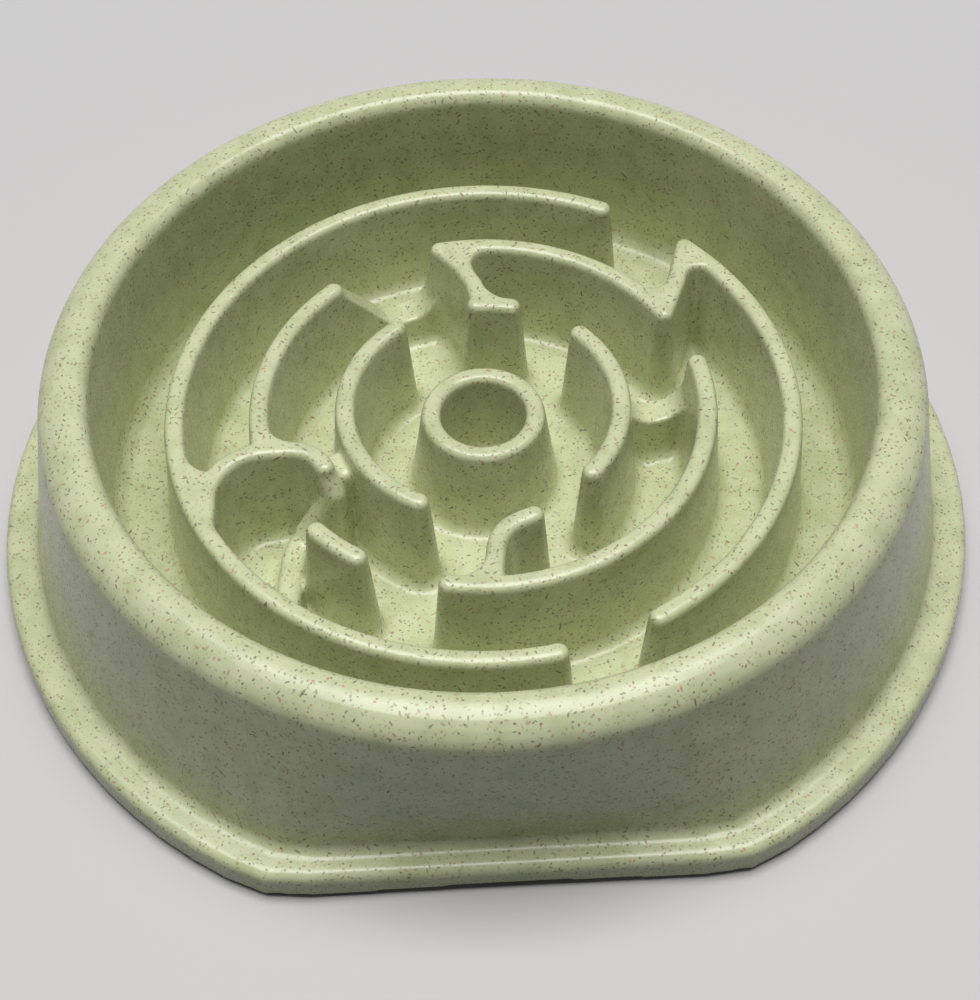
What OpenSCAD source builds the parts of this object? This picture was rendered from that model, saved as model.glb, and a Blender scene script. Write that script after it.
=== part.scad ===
// Slow feeder bowl: a round basin with a raised maze of moulded walls, a hollow skirt,
// and a wide base flange with a straight front and back, on four rubber feet.
// Millimetres, +Z up, straight front towards -Y. The origin is on the table, under the
// middle of the bowl.

/* [Basin] */
// Height of the basin's floor above the table
floor_z = 12; // [10:0.1:16]
// Radius of the basin at its floor
basin_r = 80; // [77:0.1:84]
// How far the basin's wall leans out from the floor up to the rim
basin_lean = 0.3; // [0.1:0.1:2]
// Fillet between the basin's floor and its wall
basin_fillet_r = 4.5; // [2:0.1:6]
// Thickness of the moulded skin
skin = 2.2; // [1.6:0.1:3]

/* [Rim and skirt] */
// Height of the bowl above the table
bowl_h = 50.8; // [46:0.1:60]
// Radius of the rim's roll towards the basin
rim_roll_r = 3.2; // [2.6:0.1:4]
// Width of the rim's outer side, from its crest outwards
rim_side_w = 7.7; // [5:0.1:9]
// Height of the rim's outer side, from its crest down to the skirt
rim_side_h = 6.3; // [4:0.1:8]
// How far the skirt flares from the rim down to the flange
skirt_flare = 6; // [2:0.1:9]
// Fillet between the skirt and the flange
skirt_fillet_r = 2.3; // [1:0.1:4]

/* [Base flange] */
// Width of the flange beyond the skirt
flange_w = 7.8; // [6:0.1:12]
// How far the straight front and back cut into the flange's round
flange_cut = 11; // [8:0.5:14]
// Width of the flange beyond the skirt at the straight front and back
flange_flat_w = 6; // [4:0.1:7]
// Height of the flange's edge
flange_h = 6.6; // [5:0.1:9]
// Rounding of the flange's upper edge
flange_edge_r = 2; // [1:0.1:3]
// Height of the finger arch under the straight front and back
arch_h = 1.2; // [0:0.1:2.5]

/* [Maze walls] */
// Height of the maze walls above the table
wall_z = 36.9; // [30:0.1:42]
// Width of a wall at its crest
wall_w = 4.2; // [3.2:0.1:5]
// Rounding of the crest's edges
wall_top_r = 1.4; // [0.6:0.1:1.5]
// Draft of the walls' sides in degrees
wall_draft = 4.5; // [1:0.5:6]
// Fillet between a wall and the floor
wall_fillet_r = 2.6; // [1:0.1:4]
// Radius of the outer ring of walls
outer_ring_r = 64.6; // [63:0.1:67]
// Radius of the middle ring of walls
middle_ring_r = 47; // [45:0.1:49]
// Radius of the inner ring of walls
inner_ring_r = 29; // [27:0.1:31]
// Height of the low saddles between walls, above the table
saddle_z = 19; // [17:0.1:24]
// Height of the short saddle on the right, above the table
short_saddle_z = 23; // [18:0.1:28]
// Radius of the sweep from a saddle up to its neighbours
saddle_sweep_r = 7; // [4:0.5:10]
// Width of the low ridge's crest
ridge_w = 5.2; // [4:0.1:7]
// Height of the short bridge between the arch and the inner ring, above the table
bridge_z = 33; // [24:0.5:34]
// Width of that bridge's crest
bridge_w = 7.5; // [5:0.1:9]

/* [Centre post] */
// Height of the post above the table
post_z = 33.6; // [28:0.1:42]
// Radius of the post at its top
post_r = 13.1; // [12.5:0.1:14]
// Radius of the post at the floor
post_foot_r = 15.6; // [14:0.1:18]
// Radius of the cup in the post, at its mouth
cup_r = 9; // [7:0.1:9.4]
// Radius of the cup at its floor
cup_floor_r = 8.2; // [6:0.1:9]

/* [Rubber feet] */
// Height of a foot below the flange
foot_proud = 1; // [0.5:0.1:2]
// Radius of a foot
foot_r = 4.6; // [3:0.1:5]
// Depth of a foot's seat in the flange
foot_seat_h = 3; // [2:0.1:4]
// Distance from the flange's edge to the middle of a foot
foot_inset = 8.5; // [7:0.1:10]
// Gap around a foot in its seat
foot_gap = 0.1; // [0.05:0.05:0.2]

/* [Hidden] */
$fn = 96;

plastic = "#d8ddbd";
rubber = "#3a3a38";

// Overrun of every cut
over = 1;
// Height of the small step where a fillet ends on the floor
land = 0.15;
// The hair by which walls that run into one another differ, so that no faces coincide
hair = 0.05;
// A ring wall stops this far short of its end post's axis
end_inset = 0.3;
// The most that a free wall turns between two posts, in degrees, and the faces around a
// post and a corner's round
chain_turn = 15;
post_faces = 20;
corner_faces = 48;
// Rounding of the corners between the flange's straight and round stretches
corner_r = 3;
// Steps around the skirt's loft, and along a short arc of a profile
around = 80;
arc_steps = 3;

rim_r = basin_r + basin_lean + rim_roll_r;
rim_edge_r = rim_r + rim_side_w;
rim_edge_z = bowl_h - rim_side_h;
skirt_foot_r = rim_edge_r + skirt_flare;
flange_r = skirt_foot_r + flange_w;
flange_flat = flange_r - flange_cut;
skirt_flat = flange_flat - flange_flat_w;
flange_z = foot_proud + flange_h;
wall_h = wall_z - floor_z;
lane_r = (outer_ring_r + middle_ring_r) / 2;
lane_half = (outer_ring_r - middle_ring_r) / 2;

// Where the maze's walls start and stop, in degrees counterclockwise from +X
outer_long = [62.5, 280];
outer_short = [299, 403];
middle_top = [30.5, 99];
middle_left = [131.5, 188.5];
middle_stub = [222, 235];
middle_right = [259, 371];
inner_left = [127.5, 240.5];
inner_right = [317.5, 401];
inner_foot = [75, 90];
saddle_right = 10.5;
lane_end = 188.8;

// A point at a radius and an angle, and one part of the way from one ring to another
function polar(r, a) = r * [cos(a), sin(a)];
function lane(from_r, to_r, share, a) = polar(from_r + (to_r - from_r) * share, a);
function heading(p, q) = atan2(q[1] - p[1], q[0] - p[0]);
function turn_near(a) = a - 360 * round(a / 360);
function backwards(list) = [for (i = [len(list) - 1:-1:0]) list[i]];

// Points of an arc of a profile
function arc(centre, r, from, to, steps = arc_steps) =
    [for (i = [0:steps]) centre + polar(r, from + (to - from) * i / steps)];

// Half the section of a wall, from its fillet's foot up to its crest. The sides lean by the
// draft, the crest is flat with round edges, and w is its width.
function wall_side(h, w) =
    let (top = [w / 2 - wall_top_r, h - wall_top_r],
         shoulder = top + polar(wall_top_r, wall_draft),
         root_x = shoulder[0] + shoulder[1] * tan(wall_draft),
         fillet_x = root_x - wall_fillet_r * tan(wall_draft) + wall_fillet_r / cos(wall_draft),
         foot_a = 270 - acos(1 - land / wall_fillet_r),
         fillet = arc([fillet_x, wall_fillet_r], wall_fillet_r, foot_a, 180 + wall_draft))
    concat([[fillet[0][0], 0]], fillet, arc(top, wall_top_r, wall_draft, 90));

// Width of a low wall's crest, whose sides lie in those of a tall wall
function low_width(h) = wall_w - 2 * hair + 2 * (wall_h - h) * tan(wall_draft);

module wall_section() {
    side = wall_side(wall_h, wall_w);
    polygon(concat(side, backwards([for (p = side) [-p[0], p[1]]])));
}

// Half the section of the post that rounds off a ring wall's end: the wall's, grown by a
// hair all round
function end_post() =
    concat([[0, 0]],
           [for (p = wall_side(wall_h, wall_w)) p + [hair, p[1] == 0 ? 0 : hair]],
           [[0, wall_h + hair]]);

// A wall along a ring, with a round post at each end
module ring_wall(r, span) {
    inset = asin(end_inset / r);
    rotate(span[0] + inset)
        rotate_extrude(angle = span[1] - span[0] - 2 * inset)
            translate([r, 0]) wall_section();
    for (a = span)
        translate(polar(r, a))
            rotate_extrude() polygon(end_post());
}

// A free wall is a chain of hulls between round posts. The concave foot of its section is
// built up from layers, each of which is convex: the first is the wall, the rest its fillet.
module post_layer(at, h, w, layer) {
    side = wall_side(h, w);
    translate(at)
        rotate_extrude($fn = post_faces)
            polygon(layer == 0
                ? concat([[0, 0], [side[arc_steps + 1][0], 0]],
                         [for (i = [arc_steps + 1:len(side) - 1]) side[i]], [[0, h]])
                : [[0, 0], [side[layer][0], 0], side[layer], side[layer + 1],
                   [0, side[layer + 1][1]]]);
}

module wall_chain(points, h = wall_h - 2 * hair, w = wall_w - 2 * hair)
    sloped_chain(points, [for (p = points) h], [for (p = points) w]);

module sloped_chain(points, heights, widths)
    for (i = [0:len(points) - 2])
        for (layer = [0:arc_steps])
            hull() {
                post_layer(points[i], heights[i], widths[i], layer);
                post_layer(points[i + 1], heights[i + 1], widths[i + 1], layer);
            }

// A wall whose crest sinks from one height to another over its first few points. Its sides
// lie in those of a tall wall there, and then draw in to the low crest's own width.
module sinking_wall(points, from_h, to_h, to_w, count) {
    heights = [for (i = [0:len(points) - 1])
                   to_h + (from_h - to_h) * pow(max(0, 1 - i / count), 1.7)];
    sloped_chain(points, heights,
                 [for (i = [0:len(points) - 1]) i < count ? low_width(heights[i]) : to_w]);
}

// Points along arcs that leave the first of the given points in direction a, pass through
// the others and run smoothly into one another
function smooth(points, a) =
    let (p = points[0],
         q = points[1],
         turn = 2 * turn_near(heading(p, q) - a),
         steps = max(1, ceil(abs(turn) / chain_turn)),
         r = norm(q - p) / (2 * sin(max(abs(turn), 0.1) / 2)),
         side = turn < 0 ? -1 : 1,
         centre = p + side * r * [-sin(a), cos(a)],
         run = abs(turn) < 1
             ? [p]
             : [for (i = [0:steps - 1]) centre + side * r * [sin(a + turn * i / steps),
                                                             -cos(a + turn * i / steps)]])
    len(points) == 2
        ? concat(run, [q])
        : concat(run, smooth([for (i = [1:len(points) - 1]) points[i]], a + turn));

// The space inside a rounded corner in plan: what is left of a web after this cut has the
// same crest, draft and root fillet as the walls. r is the corner's radius at the crest.
module corner_cut(at, r) {
    axis_to_wall = r + wall_w / 2;
    side = [for (p = wall_side(wall_h, wall_w)) [max(0, axis_to_wall - p[0]), p[1]]];
    translate([at[0], at[1], 0])
        rotate_extrude($fn = corner_faces)
            polygon(concat([[0, -over], [side[0][0], -over]], side,
                           [[axis_to_wall, wall_h + over], [0, wall_h + over]]));
}

// The solid that fills a corner between walls, with its outline on their middles
module web(outline, at, r)
    difference() {
        linear_extrude(wall_h - 3 * hair) polygon(outline);
        corner_cut(at, r + 2 * hair);
    }

module outer_ring() {
    for (span = [outer_long, outer_short])
        ring_wall(outer_ring_r, span);
}

module middle_ring() {
    for (span = [middle_top, middle_left, middle_stub, middle_right])
        ring_wall(middle_ring_r, span);
}

module inner_ring() {
    for (span = [inner_left, inner_right, inner_foot])
        ring_wall(inner_ring_r, span);
}

module rings() {
    outer_ring();
    middle_ring();
    inner_ring();
}

// The spur that joins the outer ring to the corner of the middle ring
corner_top = polar(outer_ring_r, outer_short[1]);
corner_waist = lane(middle_ring_r, outer_ring_r, 0.5, 37.3);
corner_foot = polar(middle_ring_r, middle_top[0]);
corner_heading = 256;
notch_r = 3.2;
notch = polar(middle_ring_r + wall_w / 2 + notch_r, 41.8);
corner_round_r = 2.5;
corner_round = polar(outer_ring_r - wall_w / 2 - corner_round_r, 34.8);

module corner_spur() {
    wall_chain(smooth([corner_top, corner_waist, corner_foot], corner_heading));
    web([corner_foot, polar(middle_ring_r, 41.8), notch,
         lane(middle_ring_r, outer_ring_r, 0.46, 37)], notch, notch_r);
    web([corner_top, polar(outer_ring_r, 34.8), corner_round,
         lane(middle_ring_r, outer_ring_r, 0.58, 38.4)], corner_round, corner_round_r);
}

// The spur that hooks down from the middle ring's end to a foot on the inner ring's line
hook_top = polar(middle_ring_r, middle_top[1]);
hook_foot = polar(inner_ring_r, 88);
hook_heading = -43;
hook_top_r = 3.2;
hook_top_fillet = polar(middle_ring_r - wall_w / 2 - hook_top_r, 86);
hook_foot_r = 7;
hook_foot_fillet = polar(inner_ring_r + wall_w / 2 + hook_foot_r, 76.8);

module hook_spur() {
    wall_chain(smooth([hook_top, hook_foot], hook_heading));
    web([hook_top, polar(middle_ring_r, 86), hook_top_fillet,
         lane(middle_ring_r, inner_ring_r, 0.44, 92.7)], hook_top_fillet, hook_top_r);
    web([hook_foot, lane(middle_ring_r, inner_ring_r, 0.69, 90), hook_foot_fillet,
         polar(inner_ring_r, 76.8)], hook_foot_fillet, hook_foot_r);
}

// The spur that curls from the lower middle ring towards the inner ring's line
curl_foot = polar(middle_ring_r, 269.5);
curl_bend = lane(middle_ring_r, inner_ring_r, 0.52, 271.2);
curl_turned = lane(middle_ring_r, inner_ring_r, 0.86, 281);
curl_tip = lane(middle_ring_r, inner_ring_r, 0.885, 286.5);
curl_heading = 82;
curl_fillet_r = 5.5;
curl_fillet = polar(middle_ring_r - wall_w / 2 - curl_fillet_r, 259.8);

module curl_spur() {
    wall_chain(smooth([curl_foot, curl_bend, curl_turned, curl_tip], curl_heading));
    web([curl_foot, polar(middle_ring_r, 259.8), curl_fillet,
         lane(middle_ring_r, inner_ring_r, 0.41, 270.8)], curl_fillet, curl_fillet_r);
}

// The arch that closes the lane between the outer and the middle ring
arch_foot = polar(outer_ring_r, 207.5);
arch_leg = lane(middle_ring_r, outer_ring_r, 0.82, 201);
arch_left = polar(middle_ring_r, 192.2);
arch_right = lane(middle_ring_r, inner_ring_r, 0.31, 193.8);
arch_tip = lane(middle_ring_r, inner_ring_r, 0.59, 204);
arch_heading = 90;
arch_fillet_r = 5.5;
arch_fillet = polar(middle_ring_r - wall_w / 2 - arch_fillet_r, 183.4);
lane_end_at = polar(lane_r, lane_end);

module arch_wall() {
    wall_chain(smooth([arch_foot, arch_leg, arch_left, arch_right, arch_tip], arch_heading));
    web([arch_foot, polar(outer_ring_r, (lane_end + 207.5) / 2), polar(outer_ring_r, lane_end),
         lane_end_at, polar(middle_ring_r, lane_end), arch_left,
         lane(middle_ring_r, outer_ring_r, 0.48, 194.5), arch_leg],
        lane_end_at, lane_half - wall_w / 2);
    web([arch_left, polar(middle_ring_r, 183.4), arch_fillet, arch_right],
        arch_fillet, arch_fillet_r);
}

// A low wall whose ends sweep up to the walls that it joins. The cut that shapes it runs
// across the wall: it is as wide as the gap at the crests and has a round bottom, which may
// lie off the middle by a share of half the gap.
module saddle(p, q, a, low, off_share = 0) {
    half = norm(q - p) / 2;
    sweep_r = min(saddle_sweep_r, half - wall_w / 2);
    reach = half - end_inset;
    difference() {
        wall_chain(smooth([p, q], a), wall_h - wall_top_r, low_width(wall_h - wall_top_r));
        translate((p + q) / 2) rotate(heading(p, q)) rotate([90, 0, 0])
            linear_extrude(4 * lane_half, center = true)
                hull() {
                    translate([off_share * half, low + sweep_r])
                        circle(sweep_r, $fn = corner_faces);
                    polygon([[-reach, wall_h], [reach, wall_h], [0, 2 * wall_h]]);
                }
    }
}

// The ridge goes on from the arch's tip: it sinks as it turns back, and crosses the lane
ridge_top = lane(middle_ring_r, inner_ring_r, 0.61, 208);
ridge_bend = lane(middle_ring_r, inner_ring_r, 0.21, 206.7);
ridge_low = lane(middle_ring_r, outer_ring_r, 0.06, 211.3);
ridge_foot = polar(outer_ring_r, 228);
ridge_heading = 170;
ridge_sink_points = 6;
bridge_top = lane(middle_ring_r, inner_ring_r, 0.7, 201.5);
bridge_foot = lane(inner_ring_r, middle_ring_r, 0.1, 201.5);

module low_saddles()
    difference() {
        union() {
            saddle(polar(middle_ring_r, middle_left[0]), polar(middle_ring_r, middle_top[1]),
                   middle_left[0] - 90, saddle_z - floor_z, off_share = 0.3);
            saddle(polar(inner_ring_r, saddle_right), polar(middle_ring_r, saddle_right),
                   saddle_right, short_saddle_z - floor_z);
            sinking_wall(concat([arch_tip], smooth([ridge_top, ridge_bend, ridge_low, ridge_foot],
                                                   ridge_heading)),
                         wall_h - wall_top_r, saddle_z - floor_z, ridge_w, ridge_sink_points);
            wall_chain([bridge_top, bridge_foot], bridge_z - floor_z, bridge_w);
        }
        rings();
        arch_wall();
        hook_spur();
    }

// Half sections of the turned pieces, from the axis outwards
module basin() {
    corner = [basin_r - basin_fillet_r, floor_z + basin_fillet_r];
    rim = [rim_r, bowl_h - rim_roll_r];
    side = [rim_r, rim_edge_z];
    rotate_extrude(convexity = 4)
        polygon(concat([[0, floor_z]],
                       arc(corner, basin_fillet_r, -90, 0),
                       arc(rim, rim_roll_r, 180, 90, 2 * arc_steps),
                       backwards(oval_arc(side, rim_side_w, rim_side_h)),
                       oval_arc(side, rim_side_w - skin, rim_side_h - skin),
                       arc(rim, rim_roll_r - skin, 90, 180),
                       arc(corner, basin_fillet_r + skin, 0, -90),
                       [[0, floor_z - skin]]));
}

// Points of a quarter of an ellipse, w wide and h high, from its side up to just short of
// its top
function oval_arc(centre, w, h) =
    [for (i = [0:2 * arc_steps - 1])
        let (a = 45 * i / arc_steps) centre + [w * cos(a), h * sin(a)]];

module centre_post() {
    height = post_z - floor_z;
    lip_out = [post_r - wall_top_r, height - wall_top_r];
    lip_in = [cup_r + wall_top_r, height - wall_top_r];
    foot = [post_foot_r + wall_fillet_r, wall_fillet_r];
    cup_foot = [cup_floor_r - wall_fillet_r, wall_fillet_r];
    foot_a = acos(1 - land / wall_fillet_r);
    outer = arc(foot, wall_fillet_r, 270 - foot_a, 190);
    inner = arc(cup_foot, wall_fillet_r, -3, foot_a - 90);
    translate([0, 0, floor_z])
        rotate_extrude(convexity = 4)
            polygon(concat([[outer[0][0], 0]], outer, arc(lip_out, wall_top_r, 8, 90),
                           arc(lip_in, wall_top_r, 90, 177),
                           inner, [[inner[arc_steps][0], 0]]));
}

// Radius, in direction a, of a circle with a straight front and back and soft corners
function flatted(r, flat, a) =
    let (straight = flat / max(abs(sin(a)), 0.01),
         near = max(corner_r - abs(r - straight), 0) / corner_r)
    min(r, straight) - corner_r * near * near / 4;

// How far the flats draw the flange and the skirt's foot in, in direction a
function flange_draw(a) = flange_r - flatted(flange_r, flange_flat, a);
function skirt_draw(a) = skirt_foot_r - flatted(skirt_foot_r, skirt_flat, a);

// Height of the finger arch, in direction a, over the width of a flat
function finger_arch(a) =
    let (half = sqrt(pow(flange_r, 2) - pow(flange_flat, 2)),
         share = min(1, abs(flange_r * cos(a)) / half))
    arch_h * pow(1 - share * share, 2);

// The share of the flats' draw that is left at a level of the skirt
levels = 4;
function fade(level) = pow(1 - level / levels, 1.4);

// The skirt's loft: rings of points from the flange's lower edge, over the flange, up the
// skirt, and down again inside. Each ring is [radius, height, share of the flange's draw,
// share of the skirt's draw, share of the finger arch].
function loft_rings() =
    let (edge = [flange_r - flange_edge_r, flange_z - flange_edge_r],
         fillet = [skirt_foot_r + skirt_fillet_r, flange_z + skirt_fillet_r],
         top = [rim_edge_r, rim_edge_z],
         top_in = top - [skin, 0],
         foot = [skirt_foot_r, flange_z + skirt_fillet_r],
         foot_in = foot - [skin, skin])
    concat([[flange_r, foot_proud, 1, 0, 1]],
           [for (p = arc(edge, flange_edge_r, 0, 90)) [p[0], p[1], 1, 0, 0]],
           [for (p = arc(fillet, skirt_fillet_r, 270, 180)) [p[0], p[1], 0, 1, 0]],
           [for (i = [1:levels])
                concat(foot + (top - foot) * i / levels, 0, fade(i), 0)],
           [for (i = [levels:-1:0])
                concat(foot_in + (top_in - foot_in) * i / levels, 0, fade(i), 0)],
           [[flange_r - skin, flange_z - skin, 1, 0, 0],
            [flange_r - skin, foot_proud, 1, 0, 1]]);

module skirt() {
    rings = loft_rings();
    count = len(rings);
    points = [for (ring = rings)
                  for (i = [0:around - 1])
                      let (a = 360 * i / around,
                           r = ring[0] - ring[2] * flange_draw(a) - ring[3] * skirt_draw(a))
                      [r * cos(a), r * sin(a), ring[1] + ring[4] * finger_arch(a)]];
    faces = [for (k = [0:count - 1])
                 for (i = [0:around - 1])
                     let (j = (i + 1) % around,
                          low = k * around,
                          high = ((k + 1) % count) * around)
                     each [[low + i, high + j, low + j], [low + i, high + i, high + j]]];
    difference() {
        union() {
            polyhedron(points, faces, convexity = 4);
            for (i = [1:4]) at_foot(i)
                cylinder(h = foot_seat_h + skin, r = foot_r + foot_gap + skin / 2);
        }
        for (i = [1:4]) at_foot(i)
            translate([0, 0, -over]) cylinder(h = foot_seat_h + over, r = foot_r + foot_gap);
    }
}

// The place of a foot's seat, at the flange's lower face
module at_foot(i)
    rotate(90 * i - 45) translate([flange_r - foot_inset, 0, foot_proud]) children();

module rubber_foot(i) {
    edge_r = foot_proud / 2;
    rotate(90 * i - 45) translate([flange_r - foot_inset, 0, 0])
        rotate_extrude()
            polygon(concat([[0, 0]], arc([foot_r - edge_r, edge_r], edge_r, -90, 0),
                           [[foot_r, foot_proud + foot_seat_h], [0, foot_proud + foot_seat_h]]));
}

color(plastic) basin();
color(plastic) skirt();
color(plastic) translate([0, 0, floor_z]) outer_ring();  // outer_ring_wall
color(plastic) translate([0, 0, floor_z]) middle_ring();  // middle_ring_wall
color(plastic) translate([0, 0, floor_z]) inner_ring();  // inner_ring_wall
color(plastic) translate([0, 0, floor_z]) difference() { corner_spur(); rings(); }
color(plastic) translate([0, 0, floor_z]) difference() { hook_spur(); rings(); }
color(plastic) translate([0, 0, floor_z]) difference() { curl_spur(); rings(); }
color(plastic) translate([0, 0, floor_z]) difference() { arch_wall(); rings(); }
color(plastic) translate([0, 0, floor_z]) low_saddles();
color(plastic) centre_post();
color(rubber) rubber_foot(1);  // foot_1
color(rubber) rubber_foot(2);  // foot_2
color(rubber) rubber_foot(3);  // foot_3
color(rubber) rubber_foot(4);  // foot_4
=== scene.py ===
"""Slow feeder bowl: its looks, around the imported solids. Lengths are metres unless a name says mm."""

import math

import bmesh
import bpy
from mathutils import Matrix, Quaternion, Vector


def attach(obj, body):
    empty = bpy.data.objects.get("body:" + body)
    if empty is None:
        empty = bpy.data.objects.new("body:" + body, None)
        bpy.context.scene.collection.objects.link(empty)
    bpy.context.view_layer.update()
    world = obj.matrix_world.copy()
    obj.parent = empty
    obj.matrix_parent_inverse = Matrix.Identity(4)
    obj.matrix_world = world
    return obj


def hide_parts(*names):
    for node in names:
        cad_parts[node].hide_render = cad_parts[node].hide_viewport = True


MM = 0.001

# The photograph's frame and the place it was taken from
FOCAL_PX = 2058.7
FRAME_LONG_PX = 1000
SENSOR_MM = 36
CAMERA_AIM = Vector((1.17, 2.86, 0)) * MM
CAMERA_DISTANCE = 461.4 * MM
CAMERA_ELEVATION = math.radians(51.37)
CAMERA_AZIMUTH = math.radians(-2.1)
CAMERA_ROLL = math.radians(-1.126)

# The one moulding, which the solids hold as regions
MOULDING = [
    "basin",
    "skirt",
    "outer_ring_wall",
    "middle_ring_wall",
    "inner_ring_wall",
    "corner_spur",
    "hook_spur",
    "curl_spur",
    "arch_wall",
    "low_saddles",
    "centre_post",
]
FEET = ["foot_1", "foot_2", "foot_3", "foot_4"]

# How fine its skin is
SKIN_VOXEL = 0.5 * MM
SMOOTH_STEPS = 4
SMOOTH_STRENGTH = 0.5
SKIN_FACES = 190_000

# Finishes, as linear colours
PLASTIC = (0.585, 0.62, 0.38)
PLASTIC_DEEP = (0.495, 0.54, 0.305)
FIBRE_BROWN = (0.085, 0.065, 0.035)
FIBRE_RED = (0.33, 0.15, 0.085)
FIBRE_OLIVE = (0.20, 0.21, 0.085)
RUBBER = (0.028, 0.028, 0.027)
RUBBER_DUSTY = (0.084, 0.084, 0.081)
TABLE = (0.56, 0.55, 0.55)
TABLE_BOUNCE = (0.17, 0.18, 0.175)

# How rough each is
PLASTIC_ROUGHNESS = 0.27
RUBBER_ROUGHNESS = 0.75
TABLE_ROUGHNESS = 0.6

# Kinds of fibre: colour, how strongly it shows, then spacing, half length and half width in mm
FIBRES = [
    (FIBRE_OLIVE, 0.40, 1.1, 0.50, 0.22),
    (FIBRE_RED, 0.55, 1.8, 0.80, 0.30),
    (FIBRE_BROWN, 0.62, 1.5, 0.75, 0.25),
    (FIBRE_BROWN, 0.75, 3.6, 1.60, 0.24),
]
FIBRE_SHIFT_MM = 17
FIBRE_CORE_SHARE = 0.35

# How wide the blotches and grain are, and how high what stands out is, in mm
CLOUD_MM = 6
WAVE_MM = 6
WAVE_HEIGHT_MM = 0.05
GRAIN_MM = 0.5
GRAIN_HEIGHT_MM = 0.012
FIBRE_HEIGHT_MM = 0.006
DUST_MM = 2.5
RUBBER_GRAIN_MM = 0.35
RUBBER_GRAIN_HEIGHT_MM = 0.03
TABLE_GRAIN_MM = 2
TABLE_GRAIN_HEIGHT_MM = 0.01

# The table, the lamp and the room
TABLE_HALF = 1200 * MM
TABLE_FADE_MM = (350, 1100)
LAMP_PLACE = (0, 200 * MM, 3000 * MM)
LAMP_SIZE = (2300 * MM, 1800 * MM)
LAMP_WATTS = 104
ROOM_TINT = (0.96, 0.98, 1, 1)
ROOM_LIGHT = 0.06
BACKDROP = 0.6


class Link:
    """A node's output that Python's operators can be used on. Each adds a Math or Vector Math node."""

    def __init__(self, shader, socket):
        self.shader = shader
        self.socket = socket

    def is_vector(self):
        return self.socket.type in ("VECTOR", "RGBA")

    def combine(self, operation, first, second):
        if any(isinstance(x, Link) and x.is_vector() for x in (first, second)):
            sides = [x if isinstance(x, (Link, tuple)) else (x, x, x) for x in (first, second)]
            return self.shader.node("VectorMath", {"operation": operation}, dict(enumerate(sides)))["Vector"]
        return self.shader.node("Math", {"operation": operation}, {0: first, 1: second})["Value"]

    def __add__(self, other):
        return self.combine("ADD", self, other)

    __radd__ = __add__

    def __sub__(self, other):
        return self.combine("SUBTRACT", self, other)

    def __rsub__(self, other):
        return self.combine("SUBTRACT", other, self)

    def __mul__(self, other):
        return self.combine("MULTIPLY", self, other)

    __rmul__ = __mul__

    def __truediv__(self, other):
        return self.combine("DIVIDE", self, other)

    def dot(self, other):
        return self.shader.node("VectorMath", {"operation": "DOT_PRODUCT"}, {0: self, 1: other})["Value"]

    def unit(self):
        return self.shader.node("VectorMath", {"operation": "NORMALIZE"}, {0: self})["Vector"]

    def length(self):
        return self.shader.node("VectorMath", {"operation": "LENGTH"}, {0: self})["Value"]


class Outputs:
    """A node's outputs by name or number, each as a Link."""

    def __init__(self, shader, made):
        self.shader = shader
        self.made = made

    def __getitem__(self, name):
        return Link(self.shader, self.made.outputs[name])


class Shader:
    """A material's or world's nodes, with one method that adds any node."""

    def __init__(self, owner):
        self.owner = owner
        owner.use_nodes = True
        self.tree = owner.node_tree
        self.tree.nodes.clear()

    def node(self, kind, settings, values):
        """Adds a node: its settings first, then the value or link of each socket, by name or number."""
        made = self.tree.nodes.new("ShaderNode" + kind)
        for name, setting in settings.items():
            setattr(made, name, setting)
        for name, value in values.items():
            if isinstance(value, Link):
                self.tree.links.new(value.socket, made.inputs[name])
            else:
                made.inputs[name].default_value = value
        return Outputs(self, made)

    def mix(self, share, first, second):
        """A colour between two, by a share from 0 to 1. The node's colours have the sockets 6, 7 and 2."""
        pair = [x if isinstance(x, Link) else (*x, 1) for x in (first, second)]
        values = {0: share, 6: pair[0], 7: pair[1]}
        return self.node("Mix", {"data_type": "RGBA"}, values)[2]

    def step(self, value, low, high):
        """0 below low and 1 above high, with a smooth run between them."""
        settings = {"interpolation_type": "SMOOTHSTEP"}
        limits = {"Value": value, "From Min": low, "From Max": high}
        return self.node("MapRange", settings, limits)["Result"]

    def point_mm(self):
        """The place on the piece, in millimetres."""
        return self.node("TexCoord", {}, {})["Object"] * (1 / MM)

    def noise(self, point, size, detail=2.0):
        """Soft random values around a half, with blotches of about a size in millimetres."""
        values = {"Vector": point, "Scale": 1 / size, "Detail": detail}
        return self.node("TexNoise", {}, values)["Fac"]

    def finish(self, colour, roughness, normal, **plain):
        surface = {"Base Color": colour, "Roughness": roughness, "Normal": normal}
        shaded = self.node("BsdfPrincipled", {}, surface | plain)
        self.node("OutputMaterial", {}, {"Surface": shaded["BSDF"]})
        return self.owner

    def in_view(self):
        """1 for what the camera sees, itself or mirrored, and 0 for the light thrown on the bowl."""
        light = self.node("LightPath", {}, {})
        return light["Is Camera Ray"] + light["Is Glossy Ray"] + light["Is Transmission Ray"]

    def bump(self, height_mm):
        values = {"Height": height_mm, "Distance": 1 * MM, "Strength": 1}
        return self.node("Bump", {}, values)["Normal"]


def fibres(shader, point, spacing, half_length, half_width, offset):
    """Short fibres cast at random through the plastic: 1 inside a fibre, 0 outside. Sizes in mm."""
    moved = point + (offset, offset, offset)
    cell = shader.node("TexVoronoi", {}, {"Vector": moved, "Scale": 1 / spacing})
    local = moved - cell["Position"]
    way = (cell["Color"] - 0.5).unit()
    along = local.dot(way)
    across_squared = local.dot(local) - along * along
    reach = along * along / half_length**2 + across_squared / half_width**2
    return 1 - shader.step(reach, FIBRE_CORE_SHARE, 1)


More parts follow.
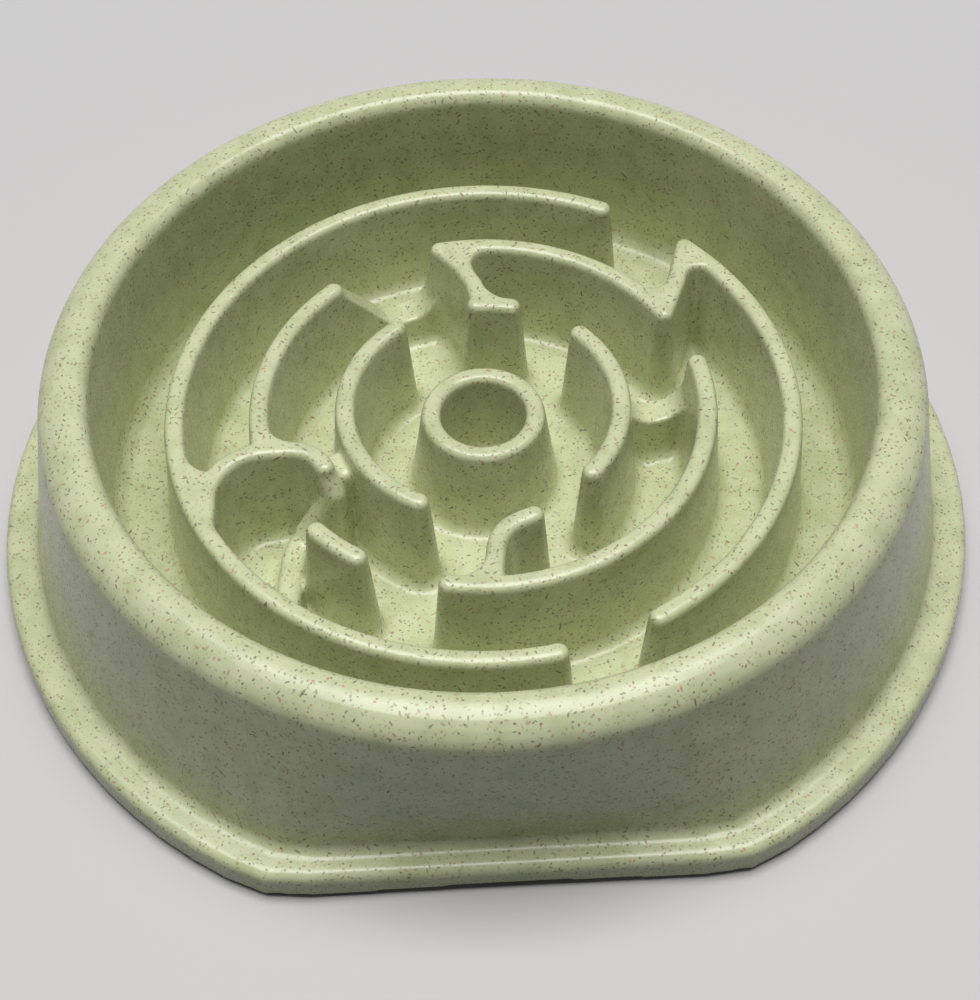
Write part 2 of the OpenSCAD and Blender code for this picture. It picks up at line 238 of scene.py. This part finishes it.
def flecked_plastic():
    shader = Shader(bpy.data.materials.new("flecked_plastic"))
    point = shader.point_mm()
    clouds = shader.noise(point, CLOUD_MM)
    colour = shader.mix(shader.step(clouds, 0.35, 0.75), PLASTIC, PLASTIC_DEEP)
    marks = 0
    for turn, (tint, strength, *size) in enumerate(FIBRES, 1):
        kind = fibres(shader, point, *size, turn * FIBRE_SHIFT_MM)
        colour = shader.mix(kind * strength, colour, tint)
        marks = kind + marks
    grain = shader.noise(point, GRAIN_MM)
    waves = shader.noise(point, WAVE_MM, detail=1.0)
    height_mm = grain * GRAIN_HEIGHT_MM + waves * WAVE_HEIGHT_MM + marks * FIBRE_HEIGHT_MM
    roughness = PLASTIC_ROUGHNESS + (grain - 0.5) * 0.1 + marks * 0.1
    return shader.finish(colour, roughness, shader.bump(height_mm))


def foot_rubber():
    shader = Shader(bpy.data.materials.new("foot_rubber"))
    point = shader.point_mm()
    grain = shader.noise(point, RUBBER_GRAIN_MM)
    dust = shader.step(shader.noise(point, DUST_MM), 0.5, 0.8)
    colour = shader.mix(dust * 0.35, RUBBER, RUBBER_DUSTY)
    normal = shader.bump(grain * RUBBER_GRAIN_HEIGHT_MM)
    return shader.finish(colour, RUBBER_ROUGHNESS + grain * 0.2, normal)


def table_top():
    """Pale to the camera and in reflections, darker to the light that it throws back, and fading away."""
    shader = Shader(bpy.data.materials.new("table_top"))
    point = shader.point_mm()
    colour = shader.mix(shader.in_view(), TABLE_BOUNCE, TABLE)
    normal = shader.bump(shader.noise(point, TABLE_GRAIN_MM) * TABLE_GRAIN_HEIGHT_MM)
    fade = shader.step(point.length(), *TABLE_FADE_MM)
    return shader.finish(colour, TABLE_ROUGHNESS, normal, Alpha=1 - fade)


def room():
    """A pale backdrop to the camera and in reflections, and a faint light on the bowl."""
    shader = Shader(bpy.data.worlds.new("room"))
    strength = shader.in_view() * (BACKDROP - ROOM_LIGHT) + ROOM_LIGHT
    light = shader.node("Background", {}, {"Color": ROOM_TINT, "Strength": strength})
    shader.node("OutputWorld", {}, {"Surface": light["Background"]})
    return shader.owner


def finished(mesh, material):
    mesh.materials.clear()
    mesh.materials.append(material)
    mesh.polygons.foreach_set("use_smooth", [True] * len(mesh.polygons))
    return mesh


def piece_of(name, mesh):
    piece = bpy.data.objects.new(name, mesh)
    bpy.context.scene.collection.objects.link(piece)
    return piece


def applied(piece):
    """The piece's mesh with its modifiers applied."""
    view = bpy.context.evaluated_depsgraph_get()
    mesh = bpy.data.meshes.new_from_object(piece.evaluated_get(view))
    piece.modifiers.clear()
    piece.data = mesh
    return mesh


def moulded_bowl(nodes):
    """One skin over the moulding's regions, with soft corners where they meet."""
    joined = bmesh.new()
    for name in MOULDING:
        joined.from_mesh(nodes[name].data)
    mesh = bpy.data.meshes.new("bowl")
    joined.to_mesh(mesh)
    joined.free()
    bowl = piece_of("bowl", mesh)
    skin = bowl.modifiers.new("skin", "REMESH")
    skin.mode = "VOXEL"
    skin.voxel_size = SKIN_VOXEL
    soft = bowl.modifiers.new("soft", "SMOOTH")
    soft.factor = SMOOTH_STRENGTH
    soft.iterations = SMOOTH_STEPS
    mesh = applied(bowl)
    fewer = bowl.modifiers.new("fewer", "DECIMATE")
    fewer.ratio = min(1, SKIN_FACES / (2 * len(mesh.polygons)))
    return bowl, applied(bowl)


def camera():
    data = bpy.data.cameras.new("camera")
    data.sensor_width = SENSOR_MM
    data.lens = SENSOR_MM * FOCAL_PX / FRAME_LONG_PX
    data.clip_start = 0.01
    back = Vector((
        math.sin(CAMERA_AZIMUTH) * math.cos(CAMERA_ELEVATION),
        -math.cos(CAMERA_AZIMUTH) * math.cos(CAMERA_ELEVATION),
        math.sin(CAMERA_ELEVATION),
    ))
    eye = bpy.data.objects.new("camera", data)
    eye.location = CAMERA_AIM + CAMERA_DISTANCE * back
    eye.rotation_mode = "QUATERNION"
    level = (-back).to_track_quat("-Z", "Y")
    eye.rotation_quaternion = level @ Quaternion((0, 0, 1), CAMERA_ROLL)
    bpy.context.scene.collection.objects.link(eye)
    bpy.context.scene.camera = eye


def overhead_lamp():
    """One soft rectangle high above the table, which faces the middle of the bowl."""
    data = bpy.data.lights.new("overhead", "AREA")
    data.shape = "RECTANGLE"
    data.size, data.size_y = LAMP_SIZE
    data.energy = LAMP_WATTS
    lamp = bpy.data.objects.new("overhead", data)
    lamp.location = LAMP_PLACE
    lamp.rotation_mode = "QUATERNION"
    lamp.rotation_quaternion = (-Vector(LAMP_PLACE)).to_track_quat("-Z", "Y")
    bpy.context.scene.collection.objects.link(lamp)


def table():
    mesh = bpy.data.meshes.new("table")
    corners = [(x * TABLE_HALF, y * TABLE_HALF, 0) for x, y in ((-1, -1), (1, -1), (1, 1), (-1, 1))]
    mesh.from_pydata(corners, [], [(0, 1, 2, 3)])
    mesh.materials.append(table_top())
    piece_of("table", mesh)


def studio():
    bpy.context.scene.view_settings.view_transform = "Standard"
    bpy.context.scene.world = room()
    overhead_lamp()
    table()


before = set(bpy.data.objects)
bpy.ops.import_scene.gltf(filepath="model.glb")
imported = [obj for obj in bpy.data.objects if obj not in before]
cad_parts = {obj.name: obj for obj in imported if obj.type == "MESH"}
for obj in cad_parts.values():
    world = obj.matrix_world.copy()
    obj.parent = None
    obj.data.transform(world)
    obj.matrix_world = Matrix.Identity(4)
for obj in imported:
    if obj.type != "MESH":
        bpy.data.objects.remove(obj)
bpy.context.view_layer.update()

camera()
studio()

bowl, bowl_mesh = moulded_bowl(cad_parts)
finished(bowl_mesh, flecked_plastic())
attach(bowl, "root")
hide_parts(*MOULDING)

rubber = foot_rubber()
for name in FEET:
    finished(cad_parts[name].data, rubber)
